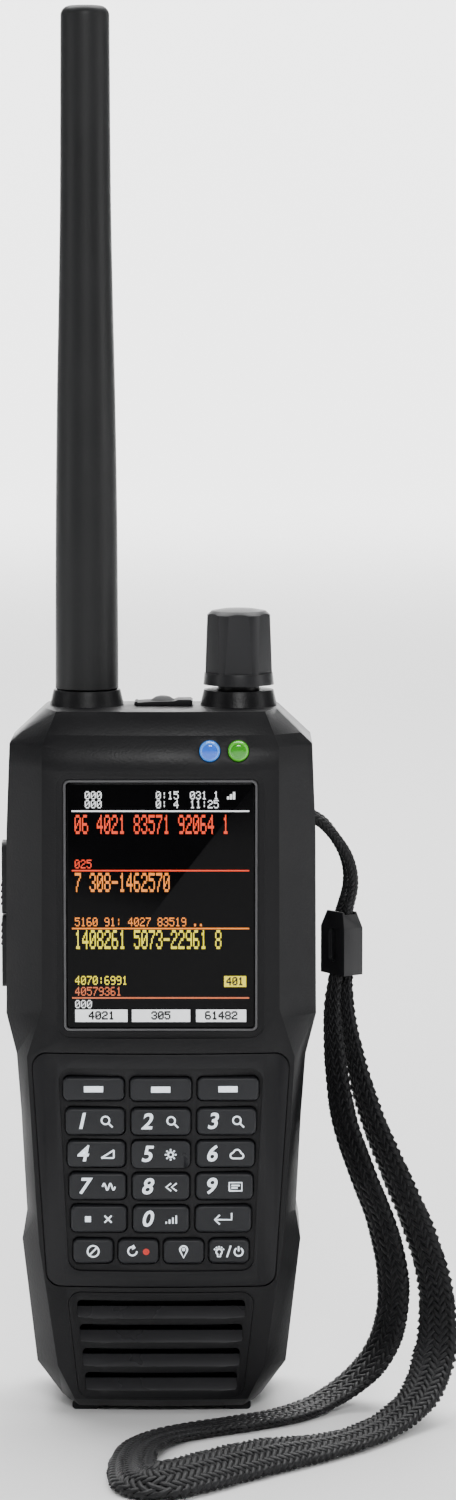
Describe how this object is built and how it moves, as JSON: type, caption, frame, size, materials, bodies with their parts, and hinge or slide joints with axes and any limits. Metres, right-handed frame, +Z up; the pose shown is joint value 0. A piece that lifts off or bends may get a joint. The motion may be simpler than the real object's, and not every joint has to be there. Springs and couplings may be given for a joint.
{
  "type": "handheld radio scanner",
  "caption": "Upright handheld radio scanner with a whip antenna, colour display, numeric keypad, speaker, turning top knob, belt clip and wrist strap.",
  "frame": {"origin": "on the surface the radio stands on, in the middle of its footprint, under the plane of the antenna and knob axes", "axes": "+X to the right of the keypad as the user sees it, +Y from the display towards the belt clip, +Z up along the antenna"},
  "size_m": [0.0942, 0.1111, 0.2871],
  "materials": {
    "housing": "fine moulded texture, charcoal black",
    "bezel_plastic": "satin black",
    "key_rubber": "soft satin key tops with light legends",
    "display_frame": "satin grey",
    "display_glass": "gloss",
    "display_module": "lit picture on black",
    "silicone": "translucent white",
    "sheet_metal": "bright",
    "circuit_board": "green solder mask",
    "speaker_cone": "black",
    "blue_lens": "clear blue, lit",
    "green_lens": "clear green, lit",
    "gold_brass": "plated",
    "antenna_rubber": "smooth matte",
    "knob_plastic": "satin black",
    "black_plastic": "satin",
    "cover_rubber": "soft matte",
    "side_rubber": "soft matte",
    "steel": "plain",
    "battery_wrap": "shrink wrap",
    "clip_plastic": "textured",
    "screw_steel": "black zinc",
    "fitting_plastic": "satin",
    "cord_nylon": "round braid",
    "braid_nylon": "flat braid"
  },
  "bodies": {
    "case": {"front_housing": "housing", "rear_housing": "housing", "keypad_bezel": "bezel_plastic", "display_bezel": "display_frame", "display_window": "display_glass", "display_panel": "display_module", "keypad_mat": "silicone", "snap_domes": "sheet_metal", "keypad_board": "circuit_board", "radio_board": "circuit_board", "shield_cans": "sheet_metal", "speaker_grille": "bezel_plastic", "speaker": "speaker_cone", "blue_light_lens": "blue_lens", "green_light_lens": "green_lens", "antenna_socket": "gold_brass", "antenna_core": "gold_brass", "antenna_sleeve": "antenna_rubber", "encoder_body": "steel", "jack_socket": "black_plastic", "usb_socket": "sheet_metal", "side_switches": "circuit_board", "strap_bar": "steel", "battery_pack": "battery_wrap", "clip_bracket": "clip_plastic", "clip_pin": "steel", "screws": "screw_steel", "strap_fitting": "fitting_plastic", "strap_loop_cord": "cord_nylon", "wrist_strap": "braid_nylon"},
    "soft_key_left": {"soft_key_left": "key_rubber"},
    "soft_key_middle": {"soft_key_middle": "key_rubber"},
    "soft_key_right": {"soft_key_right": "key_rubber"},
    "key_1": {"key_1": "key_rubber"},
    "key_2": {"key_2": "key_rubber"},
    "key_3": {"key_3": "key_rubber"},
    "key_4": {"key_4": "key_rubber"},
    "key_5": {"key_5": "key_rubber"},
    "key_6": {"key_6": "key_rubber"},
    "key_7": {"key_7": "key_rubber"},
    "key_8": {"key_8": "key_rubber"},
    "key_9": {"key_9": "key_rubber"},
    "key_dot": {"key_dot": "key_rubber"},
    "key_0": {"key_0": "key_rubber"},
    "key_enter": {"key_enter": "key_rubber"},
    "avoid_key": {"avoid_key": "key_rubber"},
    "replay_key": {"replay_key": "key_rubber"},
    "services_key": {"services_key": "key_rubber"},
    "power_key": {"power_key": "key_rubber"},
    "function_key": {"function_key": "side_rubber"},
    "menu_key": {"menu_key": "side_rubber"},
    "knob_plunger": {"encoder_plunger": "black_plastic"},
    "knob": {"encoder_shaft": "steel", "control_knob": "knob_plastic"},
    "jack_cover": {"jack_cover": "cover_rubber"},
    "usb_cover": {"usb_cover": "cover_rubber"},
    "battery_door": {"battery_door": "housing"},
    "battery_latch": {"battery_latch": "black_plastic"},
    "belt_clip": {"clip_lever": "clip_plastic", "clip_spring": "steel"}
  },
  "joints": [
    {"name": "soft_key_left_press", "type": "slide", "parent": "case", "child": "soft_key_left", "axis": [0, 1, 0], "range_m": [0, 0.0005], "stiffness_N_per_m": 600},
    {"name": "soft_key_middle_press", "type": "slide", "parent": "case", "child": "soft_key_middle", "axis": [0, 1, 0], "range_m": [0, 0.0005], "stiffness_N_per_m": 600},
    {"name": "soft_key_right_press", "type": "slide", "parent": "case", "child": "soft_key_right", "axis": [0, 1, 0], "range_m": [0, 0.0005], "stiffness_N_per_m": 600},
    {"name": "key_1_press", "type": "slide", "parent": "case", "child": "key_1", "axis": [0, 1, 0], "range_m": [0, 0.0005], "stiffness_N_per_m": 600},
    {"name": "key_2_press", "type": "slide", "parent": "case", "child": "key_2", "axis": [0, 1, 0], "range_m": [0, 0.0005], "stiffness_N_per_m": 600},
    {"name": "key_3_press", "type": "slide", "parent": "case", "child": "key_3", "axis": [0, 1, 0], "range_m": [0, 0.0005], "stiffness_N_per_m": 600},
    {"name": "key_4_press", "type": "slide", "parent": "case", "child": "key_4", "axis": [0, 1, 0], "range_m": [0, 0.0005], "stiffness_N_per_m": 600},
    {"name": "key_5_press", "type": "slide", "parent": "case", "child": "key_5", "axis": [0, 1, 0], "range_m": [0, 0.0005], "stiffness_N_per_m": 600},
    {"name": "key_6_press", "type": "slide", "parent": "case", "child": "key_6", "axis": [0, 1, 0], "range_m": [0, 0.0005], "stiffness_N_per_m": 600},
    {"name": "key_7_press", "type": "slide", "parent": "case", "child": "key_7", "axis": [0, 1, 0], "range_m": [0, 0.0005], "stiffness_N_per_m": 600},
    {"name": "key_8_press", "type": "slide", "parent": "case", "child": "key_8", "axis": [0, 1, 0], "range_m": [0, 0.0005], "stiffness_N_per_m": 600},
    {"name": "key_9_press", "type": "slide", "parent": "case", "child": "key_9", "axis": [0, 1, 0], "range_m": [0, 0.0005], "stiffness_N_per_m": 600},
    {"name": "key_dot_press", "type": "slide", "parent": "case", "child": "key_dot", "axis": [0, 1, 0], "range_m": [0, 0.0005], "stiffness_N_per_m": 600},
    {"name": "key_0_press", "type": "slide", "parent": "case", "child": "key_0", "axis": [0, 1, 0], "range_m": [0, 0.0005], "stiffness_N_per_m": 600},
    {"name": "key_enter_press", "type": "slide", "parent": "case", "child": "key_enter", "axis": [0, 1, 0], "range_m": [0, 0.0005], "stiffness_N_per_m": 600},
    {"name": "avoid_key_press", "type": "slide", "parent": "case", "child": "avoid_key", "axis": [0, 1, 0], "range_m": [0, 0.0005], "stiffness_N_per_m": 600},
    {"name": "replay_key_press", "type": "slide", "parent": "case", "child": "replay_key", "axis": [0, 1, 0], "range_m": [0, 0.0005], "stiffness_N_per_m": 600},
    {"name": "services_key_press", "type": "slide", "parent": "case", "child": "services_key", "axis": [0, 1, 0], "range_m": [0, 0.0005], "stiffness_N_per_m": 600},
    {"name": "power_key_press", "type": "slide", "parent": "case", "child": "power_key", "axis": [0, 1, 0], "range_m": [0, 0.0005], "stiffness_N_per_m": 600},
    {"name": "function_key_press", "type": "slide", "parent": "case", "child": "function_key", "axis": [1, 0, 0], "range_m": [0, 0.0007], "stiffness_N_per_m": 600},
    {"name": "menu_key_press", "type": "slide", "parent": "case", "child": "menu_key", "axis": [1, 0, 0], "range_m": [0, 0.0007], "stiffness_N_per_m": 600},
    {"name": "knob_push", "type": "slide", "parent": "case", "child": "knob_plunger", "axis": [0, 0, -1], "range_m": [0, 0.0005], "stiffness_N_per_m": 1500, "springref_m": -0.0002},
    {"name": "knob_turn", "type": "hinge", "parent": "knob_plunger", "child": "knob", "pos_m": [0.0159, 0, 0.15], "axis": [0, 0, 1], "continuous": true},
    {"name": "jack_cover_hinge", "type": "hinge", "parent": "case", "child": "jack_cover", "pos_m": [-0.0052, 0, 0.1449], "axis": [0, -1, 0], "range_deg": [0, 80]},
    {"name": "usb_cover_hinge", "type": "hinge", "parent": "case", "child": "usb_cover", "pos_m": [-0.0274, -0.00665, 0.0472], "axis": [0, -1, 0], "range_deg": [0, 95]},
    {"name": "battery_door_hinge", "type": "hinge", "parent": "case", "child": "battery_door", "pos_m": [0, 0.01405, 0.075], "axis": [1, 0, 0], "range_deg": [0, 60]},
    {"name": "battery_latch_slide", "type": "slide", "parent": "battery_door", "child": "battery_latch", "axis": [0, 0, -1], "range_m": [0, 0.002]},
    {"name": "belt_clip_hinge", "type": "hinge", "parent": "case", "child": "belt_clip", "pos_m": [0, 0.0184, 0.126], "axis": [1, 0, 0], "range_deg": [0, 12], "stiffness_Nm_per_rad": 0.2, "springref_deg": -8.59}
  ]
}
